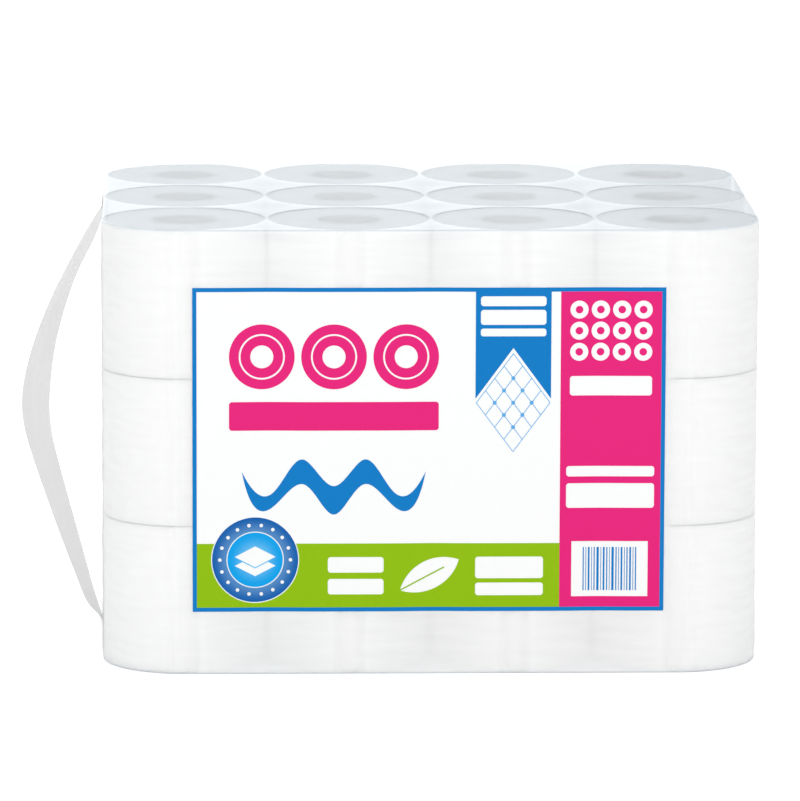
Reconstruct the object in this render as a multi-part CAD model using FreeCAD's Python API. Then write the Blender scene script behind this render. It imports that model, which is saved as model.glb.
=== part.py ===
"""Film-wrapped pack of toilet paper rolls with a printed front panel and a carry strap, in millimetres.

The pack stands on its base, with the origin at the centre of the base. X runs along the front, from the
strap's end to the other end. Y runs from the front to the back. Z is up, along the axes of the rolls.
"""

import FreeCAD
import Part
import math
import os

Vector = FreeCAD.Vector

# Roll of paper, with angles in degrees for the free edge of its last sheet
ROLL_DIAMETER = 108.0
ROLL_HEIGHT = 98.0
ROLL_RIM = 1.2
TAIL_STEP = 0.4
TAIL_SPREAD = 55.0
TAIL_LIE = 0.16
TAIL_FIRST = 35.0
TAIL_TURN = 47.0
TAIL_RANGE = 110.0

# Cardboard core
CORE_DIAMETER = 44.0
CORE_WALL = 0.7
CORE_FIT = 0.2
BORE_RIM = 0.5

# Stack of rolls
COLUMNS = 4
ROW_NAMES = ("front", "centre", "back")
LAYER_NAMES = ("bottom", "middle", "top")
ROLL_GAP = 0.6
LAYER_GAP = 0.2

# Film wrap
FILM_WALL = 0.4
FILM_GAP = 0.3
SEAL_LENGTH = 64.0
SEAL_HEIGHT = 12.0
LAP_HEIGHT = 18.0

# Carry strap
STRAP_WIDTH = 40.0
STRAP_WALL = 0.6
STRAP_TAB = 8.0
STRAP_TOP_MARGIN = 9.0
STRAP_BASE_MARGIN = 2.5
STRAP_BULGE_FRONT = 36.6
STRAP_BULGE_BACK = 55.6

# Height along the strap, from its lower weld to its upper one, and the share of the bulge there
STRAP_LINE_FRONT = (
    (0.0, 0.0), (0.025, 0.03), (0.075, 0.146), (0.16, 0.326), (0.28, 0.578), (0.40, 0.823), (0.46, 0.934),
    (0.52, 0.988), (0.59, 0.972), (0.68, 0.88), (0.78, 0.684), (0.88, 0.39), (0.95, 0.122), (1.0, 0.0),
)
STRAP_LINE_BACK = (
    (0.0, 0.0), (0.025, 0.178), (0.075, 0.298), (0.16, 0.462), (0.28, 0.681), (0.40, 0.885), (0.46, 0.967),
    (0.52, 0.997), (0.59, 0.954), (0.68, 0.825), (0.78, 0.619), (0.88, 0.361), (0.95, 0.162), (1.0, 0.0),
)

# Printed panel on the front, with u to the right and v up from its lower left corner
INK = 0.15
PANEL_WIDTH = 310.4
PANEL_HEIGHT = 215.8
PANEL_OFFSET = -2.5
PANEL_BASE = 42.0
BORDER = 2.75
COLUMN_WIDTH = 66.2
BAND_HEIGHT = 42.8

# Pennant, with plain bars by their drop and height, and the quilted diamond below it
PENNANT_SPACE = 6.25
PENNANT_WIDTH = 49.6
PENNANT_DROP = 71.0
DIAMOND_HEIGHT = 67.4
DIAMOND_SIDE_DROP = 73.7
DIAMOND_MARGIN = 2.2
LATTICE_CELLS = 4
LATTICE_LINE = 0.45
LATTICE_KNOT = 1.3
PENNANT_BARS = ((3.0, 6.6), (12.0, 10.0), (24.4, 5.2))
PENNANT_BAR_SIDE = 3.3

# Round badge
BADGE_U = 41.1
BADGE_V = 34.7
BADGE_RADIUS = 28.3
BADGE_DISC = 18.2
BADGE_LINE = 0.7
BADGE_DOTS = 18
BADGE_DOT = 1.2
BADGE_SHEET_WIDTH = 27.0
BADGE_SHEET_HEIGHT = 14.0
BADGE_PLY_STEP = 4.0
BADGE_PLY_EDGE = 5.0

# Marks on the column: rings for rolls, plain bars by their base, height and side, and a box of stripes
RING_COLUMNS = 4
RING_ROWS = 3
RING_DROP = 14.0
RING_RADIUS = 6.0
RING_HOLE = 2.5
RING_SIDE = 6.1
RING_TOP_MARGIN = 12.0
COLUMN_BARS = ((144.0, 13.0, 6.1), (90.0, 7.0, 4.1), (69.0, 16.5, 4.1))
CODE_SIDE = 7.9
CODE_HEIGHT = 37.0
CODE_BASE = 9.7
CODE_MARGIN_U = 7.6
CODE_MARGIN_V = 4.0
CODE_STRIPES = (
    0.7, 0.4, 1.1, 0.4, 0.7, 1.5, 0.4, 1.1, 0.7, 0.4,
    1.5, 0.7, 0.4, 1.1, 0.4, 0.7, 1.1, 0.4, 0.7,
)

# Marks on the band: plain bars by their base and height on both sides of a leaf
BAND_MARK_LEFT = 88.9
BAND_SPACE = 10.7
BAND_LEFT_WIDTH = 36.8
BAND_LEFT_BARS = ((26.0, 10.5), (11.4, 10.5))
BAND_RIGHT_BARS = ((22.0, 14.6), (10.6, 8.6))
LEAF_V = 24.4
LEAF_LENGTH = 44.0
LEAF_WIDTH = 19.0
LEAF_TILT = 28.0
LEAF_VEIN = 0.9

# Marks on the white field: roll ends over a solid bar, and a soft wave
MARK_LEFT = 24.0
MARK_RIGHT_SPACE = 24.0
MARK_RINGS = 3
MARK_RING_V = 170.0
MARK_RING_SPACE = 4.3
MARK_RING_HOLE = 7.6
MARK_RING_LINE = 1.2
MARK_BAR_V = 121.0
MARK_BAR_HEIGHT = 19.0
WAVE_INSET = 8.4
WAVE_V = 84.0
WAVE_RISE = 9.5
WAVE_BODY = 19.0
WAVE_BENDS = 6
MARK_CORNER = 2.0

# Worked out from the sizes above
ROLL_RADIUS = ROLL_DIAMETER / 2
CORE_RADIUS = CORE_DIAMETER / 2
BORE_RADIUS = CORE_RADIUS + CORE_FIT
ROWS = len(ROW_NAMES)
LAYERS = len(LAYER_NAMES)
PITCH = ROLL_DIAMETER + ROLL_GAP
LAYER_PITCH = ROLL_HEIGHT + LAYER_GAP
FLAT_HALF_LENGTH = PITCH * (COLUMNS - 1) / 2
FLAT_HALF_DEPTH = PITCH * (ROWS - 1) / 2
FIRST_ROLL_BASE = FILM_WALL + FILM_GAP
INNER_CORNER = ROLL_RADIUS + FILM_GAP
OUTER_CORNER = INNER_CORNER + FILM_WALL
HALF_LENGTH = FLAT_HALF_LENGTH + OUTER_CORNER
HALF_DEPTH = FLAT_HALF_DEPTH + OUTER_CORNER
PACK_HEIGHT = 2 * FIRST_ROLL_BASE + LAYERS * ROLL_HEIGHT + (LAYERS - 1) * LAYER_GAP
STRAP_SEAT = HALF_LENGTH + FILM_WALL
PANEL_LEFT = PANEL_OFFSET - PANEL_WIDTH / 2
COLUMN_LEFT = PANEL_WIDTH - BORDER - COLUMN_WIDTH
COLUMN_MIDDLE = COLUMN_LEFT + COLUMN_WIDTH / 2
PENNANT_LEFT = COLUMN_LEFT - PENNANT_SPACE - PENNANT_WIDTH
RING_PITCH = (COLUMN_WIDTH - 2 * RING_SIDE - 2 * RING_RADIUS) / (RING_COLUMNS - 1)
CODE_WIDTH = COLUMN_WIDTH - 2 * CODE_SIDE
CODE_SPACE = (CODE_WIDTH - 2 * CODE_MARGIN_U - sum(CODE_STRIPES)) / (len(CODE_STRIPES) - 1)
LEAF_REACH = LEAF_LENGTH / 2 * math.cos(math.radians(LEAF_TILT))
LEAF_U = BAND_MARK_LEFT + BAND_LEFT_WIDTH + BAND_SPACE + LEAF_REACH
BAND_RIGHT_LEFT = LEAF_U + LEAF_REACH + BAND_SPACE
BAND_RIGHT_WIDTH = COLUMN_LEFT - BAND_SPACE - BAND_RIGHT_LEFT
MARK_WIDTH = PENNANT_LEFT - MARK_RIGHT_SPACE - MARK_LEFT
MARK_RING_RADIUS = (MARK_WIDTH / MARK_RINGS - MARK_RING_SPACE * (MARK_RINGS - 1) / MARK_RINGS) / 2
WAVE_LEFT = MARK_LEFT + WAVE_INSET
WAVE_WIDTH = MARK_WIDTH - 2 * WAVE_INSET


def polar(radius, degrees):
    """Point on the base plane at a distance and an angle from the Z axis."""
    turn = math.radians(degrees)
    return Vector(radius * math.cos(turn), radius * math.sin(turn), 0)


def spline(points):
    """Smooth edge through a list of points."""
    curve = Part.BSplineCurve()
    curve.interpolate(points)
    return curve


def profile_ring(inner, outer, height, inner_rim, outer_rim):
    """Ring turned about Z, with soft edges at its bore and outside."""
    bend = 1 - math.sqrt(0.5)
    edges = [
        Part.makeLine(Vector(inner + inner_rim, 0, 0), Vector(outer - outer_rim, 0, 0)),
        Part.Arc(
            Vector(outer - outer_rim, 0, 0),
            Vector(outer - outer_rim * bend, 0, outer_rim * bend),
            Vector(outer, 0, outer_rim),
        ).toShape(),
        Part.makeLine(Vector(outer, 0, outer_rim), Vector(outer, 0, height - outer_rim)),
        Part.Arc(
            Vector(outer, 0, height - outer_rim),
            Vector(outer - outer_rim * bend, 0, height - outer_rim * bend),
            Vector(outer - outer_rim, 0, height),
        ).toShape(),
        Part.makeLine(Vector(outer - outer_rim, 0, height), Vector(inner + inner_rim, 0, height)),
        Part.Arc(
            Vector(inner + inner_rim, 0, height),
            Vector(inner + inner_rim * bend, 0, height - inner_rim * bend),
            Vector(inner, 0, height - inner_rim),
        ).toShape(),
        Part.makeLine(Vector(inner, 0, height - inner_rim), Vector(inner, 0, inner_rim)),
        Part.Arc(
            Vector(inner, 0, inner_rim),
            Vector(inner + inner_rim * bend, 0, inner_rim * bend),
            Vector(inner + inner_rim, 0, 0),
        ).toShape(),
    ]
    face = Part.Face(Part.Wire(edges))
    return face.revolve(Vector(0, 0, 0), Vector(0, 0, 1), 360)


def make_winding():
    """Wound paper of one roll, with the free edge of its last sheet as a small step at angle zero."""
    body = profile_ring(BORE_RADIUS, ROLL_RADIUS, ROLL_HEIGHT, BORE_RIM, ROLL_RIM)
    clear = ROLL_RADIUS + TAIL_STEP
    step_foot = polar(ROLL_RADIUS - TAIL_STEP, 0)
    step_top = polar(clear, 0)
    far_end = polar(clear, TAIL_SPREAD)
    lying = Part.Arc(
        far_end,
        polar(ROLL_RADIUS - TAIL_LIE, TAIL_SPREAD / 2),
        step_foot,
    ).toShape()
    over = Part.Arc(step_top, polar(clear, TAIL_SPREAD / 2), far_end).toShape()
    outline = Part.Wire([Part.makeLine(step_foot, step_top), over, lying])
    sliver = Part.Face(outline).extrude(Vector(0, 0, ROLL_HEIGHT))
    return body.cut(sliver)


def make_core():
    """Cardboard tube that a roll is wound on."""
    outside = Part.makeCylinder(CORE_RADIUS, ROLL_HEIGHT)
    return outside.cut(Part.makeCylinder(CORE_RADIUS - CORE_WALL, ROLL_HEIGHT))


def roll_place(column, row, layer):
    """Centre of a roll's lower end."""
    return Vector(
        PITCH * column - FLAT_HALF_LENGTH,
        PITCH * row - FLAT_HALF_DEPTH,
        FIRST_ROLL_BASE + LAYER_PITCH * layer,
    )


def make_rolls():
    """Every roll's winding, each in its own node, with its free edge turned to the back half."""
    winding = make_winding()
    nodes = {}
    for layer, layer_name in enumerate(LAYER_NAMES):
        for row, row_name in enumerate(ROW_NAMES):
            for column in range(COLUMNS):
                count = (layer * ROWS + row) * COLUMNS + column
                roll = winding.copy()
                roll.rotate(Vector(0, 0, 0), Vector(0, 0, 1), TAIL_FIRST + (TAIL_TURN * count) % TAIL_RANGE)
                roll.translate(roll_place(column, row, layer))
                nodes["roll_{}_{}_{}".format(layer_name, row_name, column + 1)] = roll
    return nodes


def make_cores():
    """Cores, one above the other in each place, as a group of separate tubes."""
    core = make_core()
    nodes = {}
    for row, row_name in enumerate(ROW_NAMES):
        for column in range(COLUMNS):
            tubes = []
            for layer in range(LAYERS):
                tube = core.copy()
                tube.translate(roll_place(column, row, layer))
                tubes.append(tube)
            nodes["cores_{}_{}".format(row_name, column + 1)] = Part.makeCompound(tubes)
    return nodes


def soft_block(corner, base, height, edge):
    """Block round the whole stack, with upright corners of one radius and softened top and base edges."""
    half_length = FLAT_HALF_LENGTH + corner
    half_depth = FLAT_HALF_DEPTH + corner
    block = Part.makeBox(2 * half_length, 2 * half_depth, height, Vector(-half_length, -half_depth, base))
    upright = [e for e in block.Edges if abs(e.tangentAt(e.FirstParameter).z) > 0.5]
    block = block.makeFillet(corner, upright)
    level = [e for e in block.Edges if abs(e.BoundBox.ZMax - e.BoundBox.ZMin) < edge / 2]
    return block.makeFillet(edge, level)


def end_plate(outline, side, lift):
    """Flat layer of film on an end of the pack, from an outline in Y and Z."""
    seat = side * (HALF_LENGTH - FILM_WALL / 2)
    points = [Vector(seat, y, z) for y, z in outline]
    face = Part.Face(Part.makePolygon(points + points[:1]))
    return face.extrude(Vector(side * (lift + FILM_WALL / 2), 0, 0))


def end_folds(side):
    """Upper and lower flap of a folded end, and the seal across the middle that holds them."""
    middle = PACK_HEIGHT / 2
    half_seal = SEAL_LENGTH / 2
    edge = ROLL_RIM + FILM_GAP + FILM_WALL
    pieces = []
    for up in (1, -1):
        rim = middle + up * (middle - edge)
        shoulder = middle + up * (middle - OUTER_CORNER)
        outline = [
            (-FLAT_HALF_DEPTH, rim),
            (FLAT_HALF_DEPTH, rim),
            (FLAT_HALF_DEPTH, shoulder),
            (half_seal, middle),
            (-half_seal, middle),
            (-FLAT_HALF_DEPTH, shoulder),
        ]
        pieces.append(end_plate(outline, side, FILM_WALL))
    low = middle - SEAL_HEIGHT / 2
    high = middle + SEAL_HEIGHT / 2
    seal = [(-half_seal, low), (half_seal, low), (half_seal, high), (-half_seal, high)]
    pieces.append(end_plate(seal, side, 2 * FILM_WALL))
    return pieces


def lap_seal():
    """Strip along the back where the two edges of the film lie over each other."""
    base = (PACK_HEIGHT - LAP_HEIGHT) / 2
    root = FILM_WALL / 2
    corner = Vector(-FLAT_HALF_LENGTH, HALF_DEPTH - root, base)
    return Part.makeBox(2 * FLAT_HALF_LENGTH, root + FILM_WALL, LAP_HEIGHT, corner)


def make_film():
    """Film wrap round the whole stack, closed on every side, with its folded ends and its lap seal."""
    inner_edge = ROLL_RIM + FILM_GAP
    outside = soft_block(OUTER_CORNER, 0.0, PACK_HEIGHT, inner_edge + FILM_WALL)
    layers = end_folds(1) + end_folds(-1) + [lap_seal()]
    outside = outside.multiFuse(layers).removeSplitter()
    hollow = soft_block(INNER_CORNER, FILM_WALL, PACK_HEIGHT - 2 * FILM_WALL, inner_edge)
    return outside.cut(hollow)


def strap_section(y, line, bulge):
    """Closed section of the strap's free length at one of its edges."""
    low = STRAP_BASE_MARGIN
    rise = PACK_HEIGHT - STRAP_TOP_MARGIN - low
    half = STRAP_WALL / 2
    middle = spline([Vector(-STRAP_SEAT - half - bulge * out, y, low + rise * up) for up, out in line])
    outer = []
    inner = []
    for up, out in line:
        point = Vector(-STRAP_SEAT - half - bulge * out, y, low + rise * up)
        along = middle.tangent(middle.parameter(point))[0]
        away = Vector(-along.z, 0, along.x)
        outer.append(point + away * half)
        inner.append(point - away * half)
    inner.reverse()
    return Part.Wire([
        spline(outer).toShape(),
        Part.makeLine(outer[-1], inner[0]),
        spline(inner).toShape(),
        Part.makeLine(inner[-1], outer[0]),
    ])


def make_strap():
    """Carry strap: a slack strip whose two ends lie flat on the end of the pack, where they are welded."""
    half_width = STRAP_WIDTH / 2
    front = strap_section(-half_width, STRAP_LINE_FRONT, STRAP_BULGE_FRONT)
    back = strap_section(half_width, STRAP_LINE_BACK, STRAP_BULGE_BACK)
    free = Part.makeLoft([front, back], True, True)
    top = PACK_HEIGHT - STRAP_TOP_MARGIN
    tabs = []
    for base in (STRAP_BASE_MARGIN - STRAP_WALL, top - STRAP_WALL):
        corner = Vector(-STRAP_SEAT - STRAP_WALL, -half_width, base)
        tabs.append(Part.makeBox(STRAP_WALL, STRAP_WIDTH, STRAP_TAB, corner))
    strap = free.multiFuse(tabs).removeSplitter()
    corner = Vector(-STRAP_SEAT, -STRAP_WIDTH, 0)
    behind_seat = Part.makeBox(STRAP_WIDTH, 2 * STRAP_WIDTH, PACK_HEIGHT, corner)
    return strap.cut(behind_seat)


def panel_point(u, v, lift=0.0):
    """Point on the front of the pack, from the panel's lower left corner."""
    return Vector(PANEL_LEFT + u, -HALF_DEPTH - lift, PANEL_BASE + v)


def ink_shape(wire, lift):
    """Field of ink with a closed outline."""
    return Part.Face(wire).extrude(Vector(0, -INK, 0)).translated(Vector(0, -lift, 0))


def ink_polygon(corners, lift=INK):
    """Field of ink with straight sides."""
    points = [panel_point(u, v) for u, v in corners]
    return ink_shape(Part.makePolygon(points + points[:1]), lift)


def ink_box(left, base, width, height, lift=INK):
    """Upright rectangle of ink."""
    right = left + width
    top = base + height
    return ink_polygon([(left, base), (right, base), (right, top), (left, top)], lift)


def ink_disc(u, v, radius, lift=INK):
    """Round field of ink."""
    return Part.makeCylinder(radius, INK, panel_point(u, v, lift), Vector(0, -1, 0))


def ink_ring(u, v, radius, hole, lift=INK):
    """Ring of ink."""
    return ink_disc(u, v, radius, lift).cut(ink_disc(u, v, hole, lift))


def ink_bar(left, base, width, height, lift=INK):
    """Plain bar of ink with rounded corners."""
    corner = min(MARK_CORNER, height / 3)
    shape = ink_box(left, base, width, height, lift)
    upright = [e for e in shape.Edges if abs(e.tangentAt(e.FirstParameter).y) > 0.5]
    return shape.makeFillet(corner, upright)


def pennant_outline():
    """Corners of the pennant, with a notch that follows the diamond below it."""
    top = PANEL_HEIGHT - BORDER
    middle = PENNANT_LEFT + PENNANT_WIDTH / 2
    low = top - PENNANT_DROP
    notch = low + DIAMOND_HEIGHT / 2
    right = PENNANT_LEFT + PENNANT_WIDTH
    return [(PENNANT_LEFT, top), (right, top), (right, low), (middle, notch), (PENNANT_LEFT, low)]


def diamond_frame():
    """Centre, half width and half height of the quilted diamond."""
    centre_u = PENNANT_LEFT + PENNANT_WIDTH / 2
    centre_v = PANEL_HEIGHT - BORDER - DIAMOND_SIDE_DROP
    half_width = PENNANT_WIDTH / 2 - DIAMOND_MARGIN / 4
    half_height = DIAMOND_HEIGHT / 2 - DIAMOND_MARGIN / 2
    return centre_u, centre_v, half_width, half_height


def lattice_line(start, end):
    """Thin line of ink between two points."""
    length = math.hypot(end[0] - start[0], end[1] - start[1])
    across_u = -(end[1] - start[1]) / length * LATTICE_LINE / 2
    across_v = (end[0] - start[0]) / length * LATTICE_LINE / 2
    return ink_polygon([
        (start[0] + across_u, start[1] + across_v),
        (start[0] - across_u, start[1] - across_v),
        (end[0] - across_u, end[1] - across_v),
        (end[0] + across_u, end[1] + across_v),
    ])


def make_lattice():
    """Quilting lines of the diamond, with a knot at each inner crossing."""
    centre_u, centre_v, half_u, half_v = diamond_frame()
    cells = LATTICE_CELLS
    lines = []
    for count in range(cells + 1):
        share = count / cells
        low = (centre_u - half_u * (1 - share), centre_v - half_v * share)
        high = (centre_u + half_u * share, centre_v + half_v * (1 - share))
        lines.append(lattice_line(low, high))
        low = (centre_u + half_u * (1 - share), centre_v - half_v * share)
        high = (centre_u - half_u * share, centre_v + half_v * (1 - share))
        lines.append(lattice_line(low, high))
    for along in range(1, cells):
        for across in range(1, cells):
            u = centre_u + half_u * (along - across) / cells
            v = centre_v + half_v * (along + across - cells) / cells
            lines.append(ink_disc(u, v, LATTICE_KNOT))
    return lines[0].multiFuse(lines[1:]).removeSplitter()


def column_bars():
    """Plain bars on the column, each centred on it."""
    return [
        ink_bar(COLUMN_LEFT + side, base, COLUMN_WIDTH - 2 * side, height)
        for base, height, side in COLUMN_BARS
    ]


def column_rings():
    """Rows of rings on the column, one for each roll end of a simple picture of a pack."""
    left = COLUMN_MIDDLE - RING_PITCH * (RING_COLUMNS - 1) / 2
    top = PANEL_HEIGHT - BORDER - RING_TOP_MARGIN
    rings = []
    for down in range(RING_ROWS):
        for along in range(RING_COLUMNS):
            u = left + RING_PITCH * along
            v = top - RING_DROP * down
            rings.append(ink_ring(u, v, RING_RADIUS, RING_HOLE))
    return rings


def code_box():
    """White box on the column that holds the stripes."""
    return ink_box(COLUMN_MIDDLE - CODE_WIDTH / 2, CODE_BASE, CODE_WIDTH, CODE_HEIGHT)


def code_stripes():
    """Row of upright stripes of uneven width."""
    left = COLUMN_MIDDLE - CODE_WIDTH / 2 + CODE_MARGIN_U
    base = CODE_BASE + CODE_MARGIN_V
    height = CODE_HEIGHT - 2 * CODE_MARGIN_V
    stripes = []
    for width in CODE_STRIPES:
        stripes.append(ink_box(left, base, width, height))
        left += width + CODE_SPACE
    return stripes


def leaf():
    """Leaf of two arcs with a line along its middle."""
    turn = math.radians(LEAF_TILT)
    along = (math.cos(turn) * LEAF_LENGTH / 2, math.sin(turn) * LEAF_LENGTH / 2)
    across = (-math.sin(turn) * LEAF_WIDTH / 2, math.cos(turn) * LEAF_WIDTH / 2)
    tip = panel_point(LEAF_U + along[0], LEAF_V + along[1])
    stalk = panel_point(LEAF_U - along[0], LEAF_V - along[1])
    upper = Part.Arc(stalk, panel_point(LEAF_U + across[0], LEAF_V + across[1]), tip).toShape()
    lower = Part.Arc(tip, panel_point(LEAF_U - across[0], LEAF_V - across[1]), stalk).toShape()
    side_u = -math.sin(turn) * LEAF_VEIN / 2
    side_v = math.cos(turn) * LEAF_VEIN / 2
    vein = ink_polygon([
        (LEAF_U - along[0] + side_u, LEAF_V - along[1] + side_v),
        (LEAF_U - along[0] - side_u, LEAF_V - along[1] - side_v),
        (LEAF_U + along[0] / 2 - side_u, LEAF_V + along[1] / 2 - side_v),
        (LEAF_U + along[0] / 2 + side_u, LEAF_V + along[1] / 2 + side_v),
    ])
    return ink_shape(Part.Wire([upper, lower]), INK).cut(vein)


def wave():
    """Soft wave with pointed ends on the white field."""
    top = []
    base = []
    for count in range(WAVE_BENDS + 1):
        u = WAVE_LEFT + WAVE_WIDTH * count / WAVE_BENDS
        v = WAVE_V + WAVE_RISE * math.cos(math.pi * count)
        body = WAVE_BODY * math.sin(math.pi * count / WAVE_BENDS) / 2
        top.append(panel_point(u, v + body))
        base.append(panel_point(u, v - body))
    base.reverse()
    return ink_shape(Part.Wire([spline(top).toShape(), spline(base).toShape()]), INK)


def mark_rings():
    """Three roll ends in a row on the white field, each a ring with a thin white line in it."""
    step = (MARK_WIDTH - 2 * MARK_RING_RADIUS) / (MARK_RINGS - 1)
    between = (MARK_RING_RADIUS + MARK_RING_HOLE) / 2
    rings = []
    for count in range(MARK_RINGS):
        u = MARK_LEFT + MARK_RING_RADIUS + step * count
        rings.append(ink_ring(u, MARK_RING_V, MARK_RING_RADIUS, between + MARK_RING_LINE / 2))
        rings.append(ink_ring(u, MARK_RING_V, between - MARK_RING_LINE / 2, MARK_RING_HOLE))
    return rings


def badge_picture():
    """Simple picture of two sheets of paper, one over the other, cut out of the badge's disc."""
    half = BADGE_SHEET_WIDTH / 2
    rise = BADGE_SHEET_HEIGHT / 2
    upper = BADGE_V + BADGE_PLY_STEP / 2
    lower = BADGE_V - BADGE_PLY_STEP
    top_sheet = ink_polygon([
        (BADGE_U - half, upper),
        (BADGE_U, upper - rise),
        (BADGE_U + half, upper),
        (BADGE_U, upper + rise),
    ])
    under_sheet = ink_polygon([
        (BADGE_U - half, lower),
        (BADGE_U, lower - rise),
        (BADGE_U + half, lower),
        (BADGE_U + half - BADGE_PLY_EDGE, lower + BADGE_PLY_EDGE * rise / half),
        (BADGE_U, lower - rise + 2 * BADGE_PLY_EDGE * rise / half),
        (BADGE_U - half + BADGE_PLY_EDGE, lower + BADGE_PLY_EDGE * rise / half),
    ])
    return [top_sheet, under_sheet]


def band_bars():
    """Plain bars on the band, on both sides of the leaf."""
    left = [ink_bar(BAND_MARK_LEFT, base, BAND_LEFT_WIDTH, height) for base, height in BAND_LEFT_BARS]
    right = [ink_bar(BAND_RIGHT_LEFT, base, BAND_RIGHT_WIDTH, height) for base, height in BAND_RIGHT_BARS]
    return left + right


def pennant_bars():
    """Three plain bars on the pennant."""
    top = PANEL_HEIGHT - BORDER
    left = PENNANT_LEFT + PENNANT_BAR_SIDE
    width = PENNANT_WIDTH - 2 * PENNANT_BAR_SIDE
    return [ink_bar(left, top - drop - height, width, height) for drop, height in PENNANT_BARS]


def badge_dots():
    """Dots round the badge's ring."""
    middle = (BADGE_RADIUS + BADGE_DISC) / 2
    dots = []
    for count in range(BADGE_DOTS):
        turn = 2 * math.pi * count / BADGE_DOTS
        u = BADGE_U + middle * math.cos(turn)
        v = BADGE_V + middle * math.sin(turn)
        dots.append(ink_disc(u, v, BADGE_DOT))
    return dots


def make_print():
    """White ground of the panel and the colours that lie on it side by side, one node for each ink."""
    inner_width = PANEL_WIDTH - 2 * BORDER
    inner_height = PANEL_HEIGHT - 2 * BORDER
    ground = ink_box(0, 0, PANEL_WIDTH, PANEL_HEIGHT, 0.0)
    frame = ink_box(0, 0, PANEL_WIDTH, PANEL_HEIGHT).cut(ink_box(BORDER, BORDER, inner_width, inner_height))
    pennant = ink_polygon(pennant_outline())
    blue = frame.fuse(pennant).removeSplitter().cut(pennant_bars())
    stripes = code_stripes()
    badge_ring = ink_ring(BADGE_U, BADGE_V, BADGE_RADIUS, BADGE_DISC + BADGE_LINE).cut(badge_dots())
    badge_disc = ink_disc(BADGE_U, BADGE_V, BADGE_DISC).cut(badge_picture())
    column = ink_box(COLUMN_LEFT, BORDER, COLUMN_WIDTH, inner_height)
    column = column.cut(column_bars() + column_rings() + [code_box()])
    band = ink_box(BORDER, BORDER, COLUMN_LEFT - BORDER, BAND_HEIGHT)
    badge_clear = ink_disc(BADGE_U, BADGE_V, BADGE_RADIUS + BADGE_LINE)
    band = band.cut(band_bars() + [leaf(), badge_clear])
    mark_bar = ink_bar(MARK_LEFT, MARK_BAR_V, MARK_WIDTH, MARK_BAR_HEIGHT)
    return {
        "print_white_ground": ground,
        "print_blue": Part.makeCompound(blue.Solids + stripes + [wave()]),
        "print_pink": Part.makeCompound(column.Solids + mark_rings() + [mark_bar]),
        "print_green": band,
        "print_badge_ring": badge_ring,
        "print_badge_disc": badge_disc,
        "print_quilt_lines": make_lattice(),
    }


def main():
    """Build every node and write it to its own STEP file."""
    os.makedirs("parts", exist_ok=True)
    nodes = {}
    nodes.update(make_rolls())
    nodes.update(make_cores())
    nodes["film_wrap"] = make_film()
    nodes["carry_strap"] = make_strap()
    nodes.update(make_print())
    for name, shape in nodes.items():
        shape.exportStep(os.path.join("parts", name + ".step"))
        print(name, len(shape.Solids), round(shape.Volume, 1), shape.isValid())


main()
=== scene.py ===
"""Pack of toilet paper rolls in clear film, with a printed front panel and a carry strap, in metres.

The wrapped stack stands on its base at z = 0. The front looks along -Y, the strap is on the -X end and the
rolls stand upright. Every size that the frame has is read from it, so that each piece sits where it says.
"""

import logging
import math
from dataclasses import dataclass
from enum import Enum

import bmesh
import bpy
import numpy as np
from mathutils import Matrix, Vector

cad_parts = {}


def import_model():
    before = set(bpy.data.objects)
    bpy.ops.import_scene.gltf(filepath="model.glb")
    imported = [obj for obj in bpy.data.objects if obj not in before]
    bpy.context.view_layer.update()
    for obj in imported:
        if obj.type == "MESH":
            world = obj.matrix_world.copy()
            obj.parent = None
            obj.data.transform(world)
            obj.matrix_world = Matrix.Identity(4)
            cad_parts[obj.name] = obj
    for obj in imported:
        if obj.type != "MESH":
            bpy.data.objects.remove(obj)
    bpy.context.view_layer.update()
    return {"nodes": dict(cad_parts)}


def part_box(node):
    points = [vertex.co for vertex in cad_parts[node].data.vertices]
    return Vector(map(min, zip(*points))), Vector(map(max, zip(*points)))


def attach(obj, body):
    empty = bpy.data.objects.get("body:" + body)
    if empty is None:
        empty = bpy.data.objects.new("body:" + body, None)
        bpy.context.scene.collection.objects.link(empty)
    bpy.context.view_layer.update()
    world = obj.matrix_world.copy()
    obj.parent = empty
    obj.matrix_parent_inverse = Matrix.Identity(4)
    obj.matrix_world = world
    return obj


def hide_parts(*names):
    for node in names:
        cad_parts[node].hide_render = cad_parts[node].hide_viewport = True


LOG = logging.getLogger("roll_pack")
MM = 0.001
BODY = "root"
TIGHT = 1e-6
ROLL_RADIUS = 54 * MM
Array = np.ndarray
Colour = tuple[float, float, float]
Socket = bpy.types.NodeSocket


class Slot(Enum):
    """Material slots of the record; the inks' materials take their names from them."""

    PAPER = "roll_paper"
    BOARD = "core_board"
    FILM = "clear_film"
    STRAP = "strap_film"
    WHITE = "white_ink"
    BLUE = "blue_ink"
    PINK = "pink_ink"
    GREEN = "green_ink"
    NAVY = "navy_ink"
    CYAN = "cyan_ink"
    PALE_BLUE = "pale_blue_ink"


class End(Enum):
    """End of the pack, by the sign of its X."""

    STRAP_END = -1
    FAR_END = 1


def linear(colour: Colour) -> tuple[float, float, float, float]:
    """Turn a screen colour into the linear colour, with full alpha, that a shader takes."""
    parts = [c / 12.92 if c <= 0.04045 else ((c + 0.055) / 1.055) ** 2.4 for c in colour]
    return (parts[0], parts[1], parts[2], 1.0)


def darker(colour: Colour, share: float) -> Colour:
    """Return a colour with each part cut to a share of it."""
    return (colour[0] * share, colour[1] * share, colour[2] * share)


def ease(value: Array) -> Array:
    """Smooth step from 0 to 1 of a value that is clipped to that range."""
    share = np.clip(value, 0.0, 1.0)
    return share * share * (3.0 - 2.0 * share)


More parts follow.
